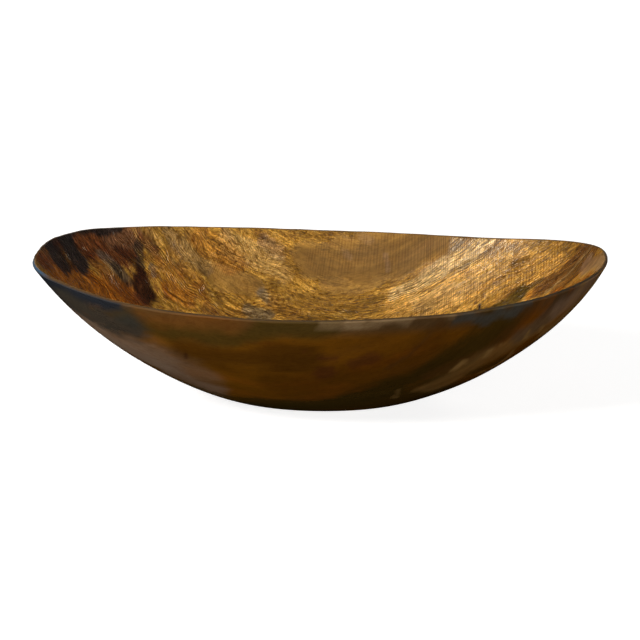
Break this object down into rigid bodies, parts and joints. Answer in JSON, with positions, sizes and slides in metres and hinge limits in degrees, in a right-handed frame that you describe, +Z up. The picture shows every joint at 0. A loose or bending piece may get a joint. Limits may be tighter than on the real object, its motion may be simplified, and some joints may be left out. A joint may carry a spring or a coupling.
{
  "type": "oval horn bowl",
  "caption": "Shallow oval boat-like bowl of polished horn, with a thin rounded rim that sweeps up to both ends and a small flattened foot; holds fruit, flowers or small things.",
  "frame": {"origin": "on the table, under the middle of the bowl's overall length and width", "axes": "+X along the bowl's length, towards its fuller end; +Y across it; +Z up"},
  "size_m": [0.2997, 0.1798, 0.0807],
  "materials": {
    "horn": "natural ox or buffalo horn (keratin): outside polished to a soft gloss, dark amber brown with slate, olive and black streaks; inside scraped and oiled, honey ochre with brown and black grain"
  },
  "bodies": {
    "root": {"bowl": "horn"}
  },
  "joints": []
}
